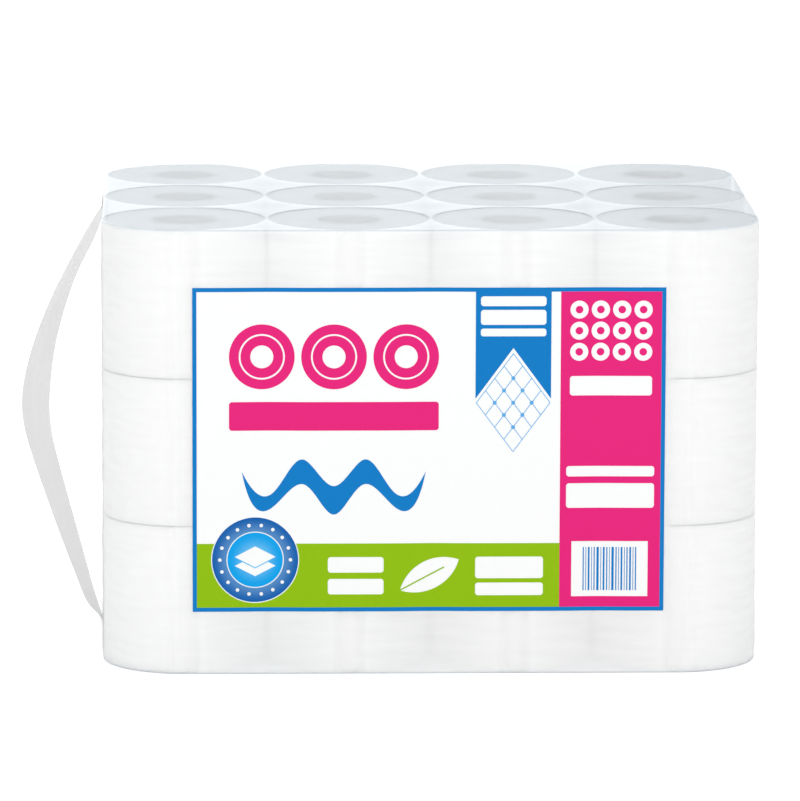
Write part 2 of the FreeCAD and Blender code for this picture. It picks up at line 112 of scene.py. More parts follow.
class NodeBench:
    """Adds and links the nodes of one material or world."""

    def __init__(self, tree: bpy.types.NodeTree) -> None:
        """Keep the tree and empty it."""
        self.tree = tree
        self.tree.nodes.clear()

    def add(self, kind: str, settings: dict[str, str] | None = None, **inputs: object) -> bpy.types.Node:
        """Add a node.

        Args:
            kind: The node's type, such as ShaderNodeMath.
            settings: Properties of the node, by name.
            inputs: Sockets or plain values of its inputs, by name with underscores for spaces.

        Returns:
            The new node.
        """
        node = self.tree.nodes.new(kind)
        for name, value in (settings or {}).items():
            setattr(node, name, value)
        for name, value in inputs.items():
            self.feed(node.inputs[name.replace("_", " ")], value)
        return node

    def feed(self, socket: Socket, value: object) -> None:
        """Link a socket to another socket, or set its plain value.

        Args:
            socket: The input to feed.
            value: An output socket, a number or a colour.
        """
        if isinstance(value, Socket):
            self.tree.links.new(value, socket)
        else:
            socket.default_value = value

    def math(self, operation: str, *values: object) -> Socket:
        """Add a Math node and return its output.

        Args:
            operation: Name of the operation, such as MULTIPLY.
            values: Sockets or numbers, in the order of the node's inputs.

        Returns:
            The node's output socket.
        """
        node = self.add("ShaderNodeMath", {"operation": operation})
        for socket, value in zip(node.inputs, values):
            self.feed(socket, value)
        return node.outputs[0]

    def times(self, value: object, factor: object) -> Socket:
        """Return the product of two values."""
        return self.math("MULTIPLY", value, factor)

    def plus(self, value: object, extra: object) -> Socket:
        """Return the sum of two values."""
        return self.math("ADD", value, extra)

    def less(self, value: object, cut: object) -> Socket:
        """Return a value less another."""
        return self.math("SUBTRACT", value, cut)

    def split(self, place: Socket) -> tuple[Socket, Socket, Socket]:
        """Return a vector's X, Y and Z."""
        return tuple(self.add("ShaderNodeSeparateXYZ", Vector=place).outputs)

    def past_middle(self, value: Socket, start: float, pitch: float) -> Socket:
        """Return how far a value lies past the middle of its own cell in a row of equal cells."""
        within = self.math("FLOORED_MODULO", self.less(value, start), pitch)
        return self.less(within, pitch / 2)

    def blend(self, share: object, first: object, second: object) -> Socket:
        """Mix two colours and return the result.

        Args:
            share: Part of the second colour, from 0 to 1.
            first: Colour or socket at share 0.
            second: Colour or socket at share 1.

        Returns:
            The mixed colour's socket.
        """
        node = self.add("ShaderNodeMix", {"data_type": "RGBA"})
        self.feed(node.inputs[0], share)
        self.feed(node.inputs[6], first)
        self.feed(node.inputs[7], second)
        return node.outputs[2]

    def span(self, first: Socket, second: Socket) -> Socket:
        """Return the length that two values at a right angle span."""
        squares = [self.times(value, value) for value in (first, second)]
        return self.math("SQRT", self.plus(*squares))

    def ramp(self, value: Socket, source: tuple[float, float], target: tuple[float, float]) -> Socket:
        """Turn one range of a value into another along a smooth step.

        Args:
            value: The value.
            source: Start and end of its range.
            target: Results there.

        Returns:
            The result's socket.
        """
        node = self.add("ShaderNodeMapRange", {"interpolation_type": "SMOOTHSTEP"}, Value=value,
                        From_Min=source[0], From_Max=source[1], To_Min=target[0], To_Max=target[1])
        return node.outputs[0]

    def noise(self, place: Socket, scale: float, detail: float = 2.0) -> Socket:
        """Return a noise texture's value, with its number of features in a metre and of finer layers."""
        return self.add("ShaderNodeTexNoise", Vector=place, Scale=scale, Detail=detail).outputs[0]

    def bump(self, height: Socket, strength: float, distance: float) -> Socket:
        """Return a bump's normal, with the share of it that shows and its height in metres."""
        return self.add("ShaderNodeBump", Strength=strength, Distance=distance, Height=height).outputs[0]

    def object_place(self) -> Socket:
        """Return the Object coordinates' socket."""
        return self.add("ShaderNodeTexCoord").outputs["Object"]

    def stretched(self, place: Socket, scale: tuple[float, float, float]) -> Socket:
        """Return coordinates scaled along X, Y and Z."""
        return self.add("ShaderNodeMapping", Scale=scale, Vector=place).outputs[0]

    def surface(self, **sockets: object) -> None:
        """Add the one shader of a material, with its inputs by name, and link it to the output."""
        shader = self.add("ShaderNodeBsdfPrincipled", **sockets)
        self.add("ShaderNodeOutputMaterial", Surface=shader.outputs[0])


def new_material(name: str) -> tuple[bpy.types.Material, NodeBench]:
    """Make an empty material and the bench for its nodes.

    Args:
        name: The material's name.

    Returns:
        The material and its bench.
    """
    material = bpy.data.materials.new(name)
    material.use_nodes = True
    return material, NodeBench(material.node_tree)


@dataclass(frozen=True)
class PaperFinish:
    """Soft embossed tissue, with the cut edges of its turns on a roll's two ends, which are painted greyer
    than the sides as painted shade between the turns.
    """

    side: Colour = (0.985, 0.985, 0.985)
    # The end colour is greyer than the side colour: painted shade between the cut turns, on paper that is as
    # white as the side.
    end: Colour = (0.872, 0.885, 0.893)
    quilt: float = 11 * MM
    turn: float = 1.3 * MM
    turn_waver: float = 9.0
    waver_scale: float = 60.0
    grain_scale: float = 900.0
    turn_shade: float = 0.955
    grain_shade: float = 0.985
    emboss: float = 0.25 * MM
    scatter: float = 5 * MM

    def make(self) -> bpy.types.Material:
        """Make the paper, which reads each roll's own place from the attribute roll_place.

        Returns:
            The material.
        """
        material, bench = new_material("paper")
        place = bench.add("ShaderNodeAttribute", {"attribute_name": "roll_place"}).outputs["Vector"]
        end = bench.add("ShaderNodeAttribute", {"attribute_name": "roll_end"}).outputs["Fac"]
        across, along, up = bench.split(place)
        radius = bench.span(across, along)
        turn = bench.math("ARCTAN2", along, across)
        quilt = self.quilted(bench, bench.times(turn, ROLL_RADIUS), up)
        waver = bench.noise(place, self.waver_scale, 3.0)
        winding = bench.plus(turn, bench.times(waver, self.turn_waver))
        rings = bench.math("SINE", bench.plus(bench.times(radius, 2 * math.pi / self.turn), winding))
        grain = bench.noise(place, self.grain_scale)
        ring_shade = bench.plus(bench.times(rings, 0.16), bench.times(waver, 0.5))
        # Painted shade: the ends take the greyer end colour, with painted darker rings along the turns and
        # random mottle.
        painted_shade_end_colour = bench.blend(ring_shade, linear(self.end), linear(darker(self.end, self.turn_shade)))
        side_colour = bench.blend(bench.times(grain, 0.35), linear(self.side),
                                  linear(darker(self.side, self.grain_shade)))
        height = bench.plus(bench.times(quilt, bench.less(1.0, end)),
                            bench.times(bench.times(rings, end), 0.5))
        height = bench.plus(height, bench.times(grain, 0.25))
        bench.surface(
            Base_Color=bench.blend(end, side_colour, painted_shade_end_colour),
            Roughness=0.92,
            Specular_IOR_Level=0.2,
            Subsurface_Weight=0.6,
            Subsurface_Radius=(1.0, 1.0, 1.0),
            Subsurface_Scale=self.scatter,
            Normal=bench.bump(height, 0.35, self.emboss),
        )
        return material

    def quilted(self, bench: NodeBench, girth: Socket, up: Socket) -> Socket:
        """Return the height of the diamond quilting on a roll's side.

        Args:
            bench: The material's bench.
            girth: Distance round the roll.
            up: Height on the roll.

        Returns:
            Socket that is 1 on a pillow's crown and 0 along its stitch lines.
        """
        lines = []
        for sign in (1.0, -1.0):
            slant = bench.plus(girth, bench.times(up, sign))
            wave = bench.math("SINE", bench.times(slant, math.pi / self.quilt))
            lines.append(bench.math("POWER", bench.math("ABSOLUTE", wave), 0.35))
        return bench.times(lines[0], lines[1])


@dataclass(frozen=True)
class BoardFinish:
    """Pale wound board of a core, with the seam of its spiral strip and short fibres."""

    pitch: float
    colour: Colour = (0.97, 0.975, 0.975)
    fleck: Colour = (0.925, 0.93, 0.93)
    seam_rise: float = 70 * MM
    seam_width: float = 0.02
    fibre_scale: float = 700.0

    def make(self) -> bpy.types.Material:
        """Make the board, which finds each core's middle by the pitch of the stack.

        Returns:
            The material.
        """
        material, bench = new_material("core_board")
        place = bench.object_place()
        across, along, up = bench.split(place)
        across = bench.past_middle(across, 0.0, self.pitch)
        along = bench.past_middle(along, -self.pitch / 2, self.pitch)
        angle = bench.math("DIVIDE", bench.math("ARCTAN2", along, across), 2 * math.pi)
        climb = bench.plus(bench.math("DIVIDE", up, self.seam_rise), angle)
        seam = bench.math("LESS_THAN", bench.math("FRACT", climb), self.seam_width)
        fibre = bench.noise(bench.stretched(place, (1.0, 1.0, 0.4)), self.fibre_scale, 3.0)
        mottled = bench.blend(fibre, linear(self.colour), linear(self.fleck))
        shaded = bench.blend(bench.times(seam, 0.5), mottled, linear(darker(self.fleck, 0.7)))
        height = bench.less(fibre, seam)
        bench.surface(Base_Color=shaded, Roughness=0.85, Normal=bench.bump(height, 0.3, 0.1 * MM))
        return material


@dataclass(frozen=True)
class FilmFinish:
    """Thin glossy polythene, milky where it spans a gap, and clearer on a roll and round the corners. It is
    painted a darker pale blue-grey where it lies level and near white where it stands upright, which is
    painted shade on the top.
    """

    # The level tint holds the film's own faint blue and painted shade that darkens the top; the upright tint
    # is near white.
    painted_shade_level_tint: Colour = (0.862, 0.91, 0.942)
    upright_tint: Colour = (0.997, 1.0, 1.0)
    upright_haze: tuple[float, float] = (0.3, 0.74)
    upright_reach: tuple[float, float] = (-1.2 * MM, 1 * MM)
    corner_haze: float = 0.34
    corner_reach: tuple[float, float] = (-2 * MM, 12 * MM)
    level_haze: tuple[float, float] = (0.3, 0.72)
    level_reach: tuple[float, float] = (-2.6 * MM, 0.4 * MM)
    streak_scale: float = 24.0
    streak_range: tuple[float, float] = (0.94, 1.06)

    def make(self, plan: "StackPlan") -> bpy.types.Material:
        """Return the material, which finds the nearest roll by the pitch of the stack.

        Args:
            plan: The stack.

        Returns:
            The material.
        """
        material, bench = new_material("clear_film")
        place = bench.object_place()
        x, y, _ = bench.split(place)
        half = plan.pitch / 2
        across = bench.past_middle(x, plan.columns[0] - half, plan.pitch)
        along = bench.past_middle(y, plan.rows[0] - half, plan.pitch)
        beyond = bench.less(bench.span(across, along), half)
        facing = bench.split(bench.add("ShaderNodeTexCoord").outputs["Normal"])
        level = bench.math("ABSOLUTE", facing[2])
        past_x = bench.less(bench.math("ABSOLUTE", x), plan.columns[-1])
        past_y = bench.less(bench.math("ABSOLUTE", y), plan.rows[-1])
        corner = bench.times(bench.ramp(past_x, self.corner_reach, (0.0, 1.0)),
                             bench.ramp(past_y, self.corner_reach, (0.0, 1.0)))
        flat_haze = bench.ramp(beyond, self.upright_reach, self.upright_haze)
        clearer = bench.times(corner, bench.less(self.corner_haze, flat_haze))
        upright_haze = bench.plus(flat_haze, clearer)
        level_haze = bench.ramp(beyond, self.level_reach, self.level_haze)
        haze = bench.plus(bench.times(bench.less(1.0, level), upright_haze),
                          bench.times(level, level_haze))
        streaks = bench.noise(bench.stretched(place, (1.0, 1.0, 8.0)), self.streak_scale, 3.0)
        low, high = self.streak_range
        streaked = bench.plus(low, bench.times(streaks, high - low))
        bench.surface(
            # Painted shade: level faces take the darker blue-grey tint, upright faces the near-white one.
            Base_Color=bench.blend(level, linear(self.upright_tint), linear(self.painted_shade_level_tint)),
            Roughness=0.28,
            IOR=1.6,
            Specular_IOR_Level=1.0,
            Alpha=bench.times(haze, streaked),
            Normal=bench.bump(streaks, 0.13, 0.8 * MM),
        )
        return material


@dataclass(frozen=True)
class FoldedFilmFinish:
    """Clear film that lies in several layers, so that it looks a little milky."""

    tint: Colour = (0.955, 0.975, 0.985)
    alpha: float = 0.34

    def make(self) -> bpy.types.Material:
        """Make the folded film, whose alpha and gloss are plain values.

        Returns:
            The material.
        """
        material, bench = new_material("folded_film")
        bench.surface(Base_Color=linear(self.tint), Roughness=0.3, IOR=1.6, Specular_IOR_Level=1.0,
                      Alpha=self.alpha)
        return material


@dataclass(frozen=True)
class StrapFinish:
    """Milky polythene strip with faint drawn lines along it."""

    colour: Colour = (0.935, 0.935, 0.935)
    deep: Colour = (0.89, 0.89, 0.89)
    alpha: float = 0.7
    line_scale: float = 60.0
    cloud_scale: float = 18.0

    def make(self) -> bpy.types.Material:
        """Make the strap's film, with lines that run up it.

        Returns:
            The material.
        """
        material, bench = new_material("strap_film")
        place = bench.object_place()
        lines = bench.noise(bench.stretched(place, (1.0, 14.0, 0.25)), self.line_scale, 3.0)
        cloud = bench.noise(place, self.cloud_scale)
        share = bench.times(bench.plus(lines, cloud), 0.5)
        colour = bench.blend(share, linear(self.colour), linear(self.deep))
        bench.surface(Base_Color=colour, Roughness=0.5, Specular_IOR_Level=0.15, Alpha=self.alpha,
                      Normal=bench.bump(lines, 0.25, 0.15 * MM))
        return material


@dataclass(frozen=True)
class InkFinish:
    """One printed colour on the film, with a thin even gloss and the faint grain of the print."""

    slot: Slot
    colour: Colour
    core: Colour | None = None
    middle: tuple[float, float] = (0.0, 0.0)
    fade: tuple[float, float] = (0.0, 1.0)
    grain_scale: float = 1500.0
    wave_scale: float = 22.0

    def make(self) -> bpy.types.Material:
        """Make the ink. A core colour turns into the plain one over two radii about a middle.

        Returns:
            The material.
        """
        material, bench = new_material(self.slot.value)
        place = bench.object_place()
        colour: object = linear(self.colour)
        if self.core is not None:
            x, _, z = bench.split(place)
            across = bench.less(x, self.middle[0])
            up = bench.less(z, self.middle[1])
            share = bench.ramp(bench.span(across, up), self.fade, (0.0, 1.0))
            colour = bench.blend(share, linear(self.core), colour)
        grain = bench.noise(place, self.grain_scale)
        worn = bench.blend(bench.times(grain, 0.12), colour, linear(darker(self.colour, 0.93)))
        waves = bench.noise(bench.stretched(place, (1.0, 1.0, 2.5)), self.wave_scale)
        height = bench.plus(waves, bench.times(grain, 0.02))
        bench.surface(Base_Color=worn, Roughness=0.42, Specular_IOR_Level=0.12,
                      Normal=bench.bump(height, 0.12, 0.6 * MM))
        return material


def take_up(obj: bpy.types.Object) -> None:
    """Select one object alone and make it active.

    Args:
        obj: The object.
    """
    bpy.ops.object.select_all(action="DESELECT")
    obj.select_set(True)
    bpy.context.view_layer.objects.active = obj


def points_of(obj: bpy.types.Object) -> Array:
    """Read an object's points.

    Args:
        obj: The object.

    Returns:
        Rows of X, Y and Z.
    """
    flat = np.zeros(len(obj.data.vertices) * 3)
    obj.data.vertices.foreach_get("co", flat)
    return flat.reshape(-1, 3)


def put_points(obj: bpy.types.Object, points: Array) -> None:
    """Set an object's points from rows of X, Y and Z."""
    obj.data.vertices.foreach_set("co", points.ravel())
    obj.data.update()


def smooth(obj: bpy.types.Object, degrees: float = 35.0) -> None:
    """Shade an object smooth.

    Args:
        obj: The object.
        degrees: Angle from which an edge stays sharp.
    """
    take_up(obj)
    if obj.data.has_custom_normals:
        bpy.ops.mesh.customdata_custom_splitnormals_clear()
    bpy.ops.object.shade_smooth_by_angle(angle=math.radians(degrees), keep_sharp_edges=False)


def edit_all(obj: bpy.types.Object) -> None:
    """Open an object for editing, with all of it selected.

    Args:
        obj: The object.
    """
    take_up(obj)
    bpy.ops.object.mode_set(mode="EDIT")
    bpy.ops.mesh.select_all(action="SELECT")


def lay_sheet(obj: bpy.types.Object, points: Array) -> None:
    """Move a sheet's points, turn its faces away from the pack and shade it smooth.

    Args:
        obj: The sheet.
        points: Rows of X, Y and Z.
    """
    put_points(obj, points)
    face = obj.data.polygons[0]
    if face.normal.dot(face.center) < 0:
        obj.data.flip_normals()
    smooth(obj)


def cut_copy(node: bpy.types.Object, cuts: dict[int, list[float]],
             flat: bool = False) -> bpy.types.Object:
    """Copy a node of the frame without its marks and parent, and cut the copy into cells.

    Args:
        node: The node.
        cuts: Places to cut it through, for each of the axes 0, 1 and 2.
        flat: Whether its faces are flat fields, which become whole ones before the cuts.

    Returns:
        The copy.
    """
    obj = node.copy()
    obj.data = node.data.copy()
    for key in list(obj.keys()):
        del obj[key]
    obj.parent = None
    bpy.context.scene.collection.objects.link(obj)
    sheet = bmesh.new()
    sheet.from_mesh(obj.data)
    bmesh.ops.remove_doubles(sheet, verts=sheet.verts, dist=TIGHT)
    if flat:
        bmesh.ops.dissolve_limit(sheet, angle_limit=0.01, verts=sheet.verts, edges=sheet.edges)
    for axis, places in cuts.items():
        normal = [float(index == axis) for index in range(3)]
        for place in places:
            spot = [place * part for part in normal]
            everything = sheet.verts[:] + sheet.edges[:] + sheet.faces[:]
            bmesh.ops.bisect_plane(sheet, geom=everything, plane_co=spot, plane_no=normal, dist=1e-7)
    sheet.to_mesh(obj.data)
    sheet.free()
    return obj


def finish_piece(obj: bpy.types.Object, name: str, material: bpy.types.Material,
                 nodes: tuple[str, ...] = ()) -> None:
    """Name and dress a piece and put it on the pack.

    Args:
        obj: The finished object.
        name: The piece's name.
        material: Its material.
        nodes: Nodes of the frame that it stands for.
    """
    obj.name = name
    obj.data.name = name
    obj.data.materials.clear()
    obj.data.materials.append(material)
    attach(obj, BODY)
    if nodes:
        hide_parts(*nodes)
    LOG.info("%s: %d faces", name, len(obj.data.polygons))


@dataclass(frozen=True)
class StackPlan:
    """Places and sizes of the wrapped stack, read from the frame."""

    columns: tuple[float, ...]
    rows: tuple[float, ...]
    layers: tuple[tuple[float, float], ...]
    half_length: float
    half_depth: float
    height: float
    corner: float
    bore: float

    ROW_NAMES = ("front", "centre", "back")
    LAYER_NAMES = ("bottom", "middle", "top")
    COLUMNS = 4

    @classmethod
    def read(cls) -> "StackPlan":
        """Measure the frame's own cores, rolls and film.

        Returns:
            The plan.
        """
        front = [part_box(f"cores_front_{column}") for column in range(1, cls.COLUMNS + 1)]
        across = [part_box(f"cores_{row}_1") for row in cls.ROW_NAMES]
        stacked = [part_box(f"roll_{layer}_front_1") for layer in cls.LAYER_NAMES]
        columns = tuple((low.x + high.x) / 2 for low, high in front)
        rows = tuple((low.y + high.y) / 2 for low, high in across)
        film_low, film_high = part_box("film_wrap")
        corner = rows[0] - film_low.y
        return cls(
            columns=columns,
            rows=rows,
            layers=tuple((low.z, high.z) for low, high in stacked),
            half_length=columns[-1] + corner,
            half_depth=-film_low.y,
            height=film_high.z,
            corner=corner,
            bore=(front[0][1].x - front[0][0].x) / 2,
        )

    @property
    def pitch(self) -> float:
        """Distance between the middles of neighbouring rolls."""
        return self.columns[1] - self.columns[0]

    def girth_place(self, x: Array, y: Array) -> Array:
        """Distance round the pack's unrounded outline, from the front's left corner.

        Args:
            x: X of points on the outline.
            y: Y of the same points.

        Returns:
            The distance of each point, from 0 to the girth.
        """
        length, depth = 2 * self.half_length, 2 * self.half_depth
        place = x + self.half_length
        place = np.where(x > self.half_length - TIGHT, length + y + self.half_depth, place)
        back = y > self.half_depth - TIGHT
        place = np.where(back, length + depth + self.half_length - x, place)
        strap_end = (x < -self.half_length + TIGHT) & (y > -self.half_depth + TIGHT) & ~back
        return np.where(strap_end, 2 * length + depth + self.half_depth - y, place)

    @property
    def girth(self) -> float:
        """Length of the pack's unrounded outline."""
        return 4 * (self.half_length + self.half_depth)

    def end_place(self, end: End, y: Array) -> Array:
        """Distance round the outline of points on one end, by their Y."""
        far = 2 * self.half_length + self.half_depth + y
        return far if end is End.FAR_END else self.girth - self.half_depth - y

    def back_place(self, x: Array) -> Array:
        """Distance round the outline of points on the back, by their X."""
        return 3 * self.half_length + 2 * self.half_depth - x


@dataclass
class FilmWrap:
    """Clear film drawn tight over the stack: flat across the rolls, with soft dips between them."""

    plan: StackPlan
    material: bpy.types.Material
    cuts: int = 92
    rim: float = 1.4 * MM
    valley_depth: float = 0.9 * MM
    valley_width: float = 17 * MM
    mouth_depth: float = 0.8 * MM
    cusp_depth: float = 1.3 * MM
    cusp_width: float = 13 * MM
    mouth_share: float = 0.97
    calm_ripple: float = 0.05 * MM
    end_ripple: float = 0.38 * MM
    calm_half: float = 180 * MM
    calm_fade: float = 45 * MM
    back_share: float = 0.4
    back_fade: float = 60 * MM
    wide_wave: float = 61 * MM
    fine_wave: float = 23 * MM
    crisp_wave: float = 11 * MM
    level_wave: float = 47 * MM
    level_sway: float = 38 * MM
    level_ripple: float = 0.06 * MM
    side_hem: float = 9 * MM
    level_hem: float = 22 * MM

    def valleys(self) -> list[float]:
        """Find the places round the outline that lie between two rolls.

        Returns:
            Their distances.
        """
        plan = self.plan
        column_gaps = [(a + b) / 2 for a, b in zip(plan.columns, plan.columns[1:])]
        row_gaps = [(a + b) / 2 for a, b in zip(plan.rows, plan.rows[1:])]
        front = [plan.half_length + x for x in column_gaps]
        back = [plan.back_place(x) for x in column_gaps]
        return front + back + [plan.end_place(end, y) for end in End for y in row_gaps]

    def ripple(self, place: Array, up: Array) -> Array:
        """Level tension ripples of the film, from -1 to 1.

        Args:
            place: Distance round the outline.
            up: Height.

        Returns:
            The ripple at each point, which closes on itself round the pack.
        """
        turn = 2 * math.pi * place / self.plan.girth
        drift = 1.3 * np.sin(3 * turn + 0.4) + 0.8 * np.sin(7 * turn + 2.1)
        rise = 2 * math.pi * up
        wide = np.sin(rise / self.wide_wave + drift)
        fine = np.sin(rise / self.fine_wave + 1.9 * drift + 1.1 * np.sin(11 * turn))
        crisp = np.sin(rise / self.crisp_wave + 2.7 * drift + 0.9)
        return 0.45 * wide + 0.35 * fine + 0.2 * crisp * np.sin(5 * turn + 1.0) ** 2

    def side_lift(self, place: Array, up: Array) -> Array:
        """Outward shift of the film's upright sides.

        Args:
            place: Distance round the outline.
            up: Height.

        Returns:
            The shift in metres, which is below 0 where the film dips.
        """
        plan = self.plan
        lift = np.zeros(np.shape(place))
        for valley in self.valleys():
            lift -= self.valley_depth * np.exp(-(((place - valley) / self.valley_width) ** 2))
        off_front = ease((np.abs(place - plan.half_length) - self.calm_half) / self.calm_fade)
        off_front = np.where(place > plan.girth - plan.half_depth, 1.0, off_front)
        off_back = ease((np.abs(place - plan.back_place(0.0)) - self.calm_half) / self.back_fade)
        off_back = self.back_share + (1 - self.back_share) * off_back
        strength = self.calm_ripple + (self.end_ripple - self.calm_ripple) * off_front * off_back
        lift += strength * (0.35 + self.ripple(place, up))
        return lift * ease(up / self.side_hem) * ease((plan.height - up) / self.side_hem)

    def level_dip(self, x: Array, y: Array) -> Array:
        """Inward shift of the film on the top and the base.

        Args:
            x: X of the points.
            y: Y of the points.

        Returns:
            The dip in metres over core mouths and over the gaps between rolls.
        """
        plan = self.plan
        dip = np.zeros(np.shape(x))
        for column in plan.columns:
            for row in plan.rows:
                off_axis = (x - column) ** 2 + (y - row) ** 2
                near = np.clip(1 - off_axis / (plan.bore * self.mouth_share) ** 2, 0, 1)
                dip += self.mouth_depth * near**2
        half = plan.pitch / 2
        for column in [plan.columns[0] - half] + [c + half for c in plan.columns]:
            for row in [plan.rows[0] - half] + [r + half for r in plan.rows]:
                near = ((x - column) ** 2 + (y - row) ** 2) / self.cusp_width**2
                dip += self.cusp_depth * np.exp(-near)
        drawn = np.sin(2 * math.pi * x / self.level_wave + 1.6 * np.sin(y / self.level_sway))
        across = ease((plan.half_length - np.abs(x)) / self.level_hem)
        along = ease((plan.half_depth - np.abs(y)) / self.level_hem)
        return (dip + self.level_ripple * drawn) * across * along

    def build(self) -> None:
        """Build the film as one closed skin, far thinner than anything that it wraps."""
        plan = self.plan
        bpy.ops.mesh.primitive_cube_add(size=1, location=(0, 0, plan.height / 2))
        obj = bpy.context.object
        obj.scale = (2 * plan.half_length, 2 * plan.half_depth, plan.height)
        bpy.ops.object.transform_apply(location=True, rotation=True, scale=True)
        edit_all(obj)
        bpy.ops.mesh.subdivide(number_cuts=self.cuts)
        bpy.ops.object.mode_set(mode="OBJECT")
        self.draw_tight(obj)
        bevel = obj.modifiers.new("rim", "BEVEL")
        bevel.width, bevel.segments = self.rim, 3
        bevel.limit_method, bevel.angle_limit = "ANGLE", math.radians(60)
        bevel.use_clamp_overlap = False
        bpy.ops.object.modifier_apply(modifier=bevel.name)
        smooth(obj, 50.0)
        finish_piece(obj, "clear_film", self.material, ("film_wrap",))

    def draw_tight(self, obj: bpy.types.Object) -> None:
        """Round the upright corners of a gridded block and shift its faces as tight film lies.

        Args:
            obj: The block.
        """
        plan = self.plan
        points = points_of(obj)
        flat, up = points[:, :2].copy(), points[:, 2].copy()
        half = np.array([plan.half_length, plan.half_depth])
        place = plan.girth_place(flat[:, 0], flat[:, 1])
        on_side = np.abs(flat) > half - TIGHT
        over = np.maximum(np.abs(flat) - (half - plan.corner), 0)
        in_corner = (over > 0).all(axis=1, keepdims=True)
        far = np.maximum(np.hypot(*over.T), TIGHT)[:, None]
        pull = np.where(in_corner, over.max(axis=1, keepdims=True) / far, 1.0)
        rounded = np.sign(flat) * (np.minimum(np.abs(flat), half - plan.corner) + over * pull)
        out = np.sign(flat) * np.where(in_corner, over, on_side)
        out /= np.maximum(np.hypot(*out.T), TIGHT)[:, None]
        outline = on_side.any(axis=1)
        lift = np.where(outline, self.side_lift(place, up), 0.0)
        points[:, :2] = rounded + out * lift[:, None]
        dip = self.level_dip(*rounded.T) * ~outline
        points[:, 2] = up - np.where(up > plan.height - TIGHT, dip, 0.0) + np.where(up < TIGHT, dip, 0.0)
        put_points(obj, points)


def add_grid(columns: int, rows: int) -> bpy.types.Object:
    """Add a flat grid one metre wide, centred on the origin, with columns along X and rows along Y."""
    bpy.ops.mesh.primitive_grid_add(x_subdivisions=columns, y_subdivisions=rows, size=1, location=(0, 0, 0))
    return bpy.context.object


@dataclass
class FoldedEnd:
    """Folded end of the film: an upper and a lower flap, and the crimped seal that joins them."""

    wrap: FilmWrap
    end: End
    material: bpy.types.Material
    flap_cells: tuple[int, int] = (44, 34)
    seal_cells: int = 32
    crimp_cells: int = 6
    seal_length: float = 64 * MM
    seal_height: float = 12 * MM
    lift: float = 0.2 * MM
    seal_lift: float = 0.52 * MM
    pleat: float = 0.14 * MM
    crimp: float = 0.12 * MM
    crimps: int = 8

    def place(self, obj: bpy.types.Object, y: Array, up: Array, out: Array, name: str) -> None:
        """Lay a grid on the end of the pack and dress it.

        Args:
            obj: The grid.
            y: Y of its points.
            up: Height of its points.
            out: Distance of its points from the film.
            name: The piece's name.
        """
        plan = self.wrap.plan
        film = self.wrap.side_lift(plan.end_place(self.end, y), up)
        lay_sheet(obj, np.column_stack([self.end.value * (plan.half_length + film + out), y, up]))
        finish_piece(obj, name, self.material)

    def flap(self, up_side: int) -> None:
        """Build one flap.

        Args:
            up_side: 1 for the upper flap, or -1 for the lower one.
        """
        plan = self.wrap.plan
        obj = add_grid(*self.flap_cells)
        grid = points_of(obj)
        across, down = 2 * grid[:, 0], grid[:, 1] + 0.5
        middle = plan.height / 2 + up_side * self.seal_height / 2
        flat_half = plan.half_depth - plan.corner
        reach = (plan.height - self.seal_height) / 2 - self.wrap.rim * 2
        shoulder = (plan.corner - self.wrap.rim * 2) / reach
        narrow = np.clip((down - shoulder) / (1 - shoulder), 0, 1)
        half = flat_half + (self.seal_length / 2 - flat_half) * narrow
        up = middle + up_side * reach * (1 - down)
        y = across * half
        fan = np.sin(9 * np.arctan2(up - middle, y) + up_side) * ease(narrow * 2) * ease((1 - down) * 6)
        out = self.lift + self.pleat * (1 + fan)
        name = "upper" if up_side > 0 else "lower"
        self.place(obj, y, up, out, f"film_{name}_flap_{self.end.name.lower()}")

    def seal(self) -> None:
        """Build the crimped seal across the middle of the end."""
        plan = self.wrap.plan
        obj = add_grid(self.seal_cells, self.crimp_cells * self.crimps)
        grid = points_of(obj)
        y = grid[:, 0] * self.seal_length
        up = plan.height / 2 + grid[:, 1] * self.seal_height
        ridge = np.sin(2 * math.pi * self.crimps * grid[:, 1])
        out = self.seal_lift + self.crimp * ridge
        self.place(obj, y, up, out, f"film_seal_{self.end.name.lower()}")

    def build(self) -> None:
        """Build the two flaps and the seal."""
        self.flap(1)
        self.flap(-1)
        self.seal()


@dataclass
class LapSeal:
    """Strip along the back where one edge of the film lies over the other."""

    wrap: FilmWrap
    material: bpy.types.Material
    height: float = 18 * MM
    lift: float = 0.22 * MM
    pucker: float = 0.08 * MM
    pucker_length: float = 5 * MM
    cells: tuple[int, int] = (90, 8)

    def build(self) -> None:
        """Build the strip."""
        plan = self.wrap.plan
        obj = add_grid(*self.cells)
        grid = points_of(obj)
        half = plan.half_length - plan.corner
        x = 2 * grid[:, 0] * half
        up = plan.height / 2 + grid[:, 1] * self.height
        at_edge = np.sign(grid[:, 1]) * (np.abs(grid[:, 1]) > 0.4)
        y = plan.half_depth + self.wrap.side_lift(plan.back_place(x), up) + self.lift
        y += self.pucker * np.sin(x / self.pucker_length) * at_edge
        lay_sheet(obj, np.column_stack([x, y, up]))
        finish_piece(obj, "film_lap_seal", self.material)


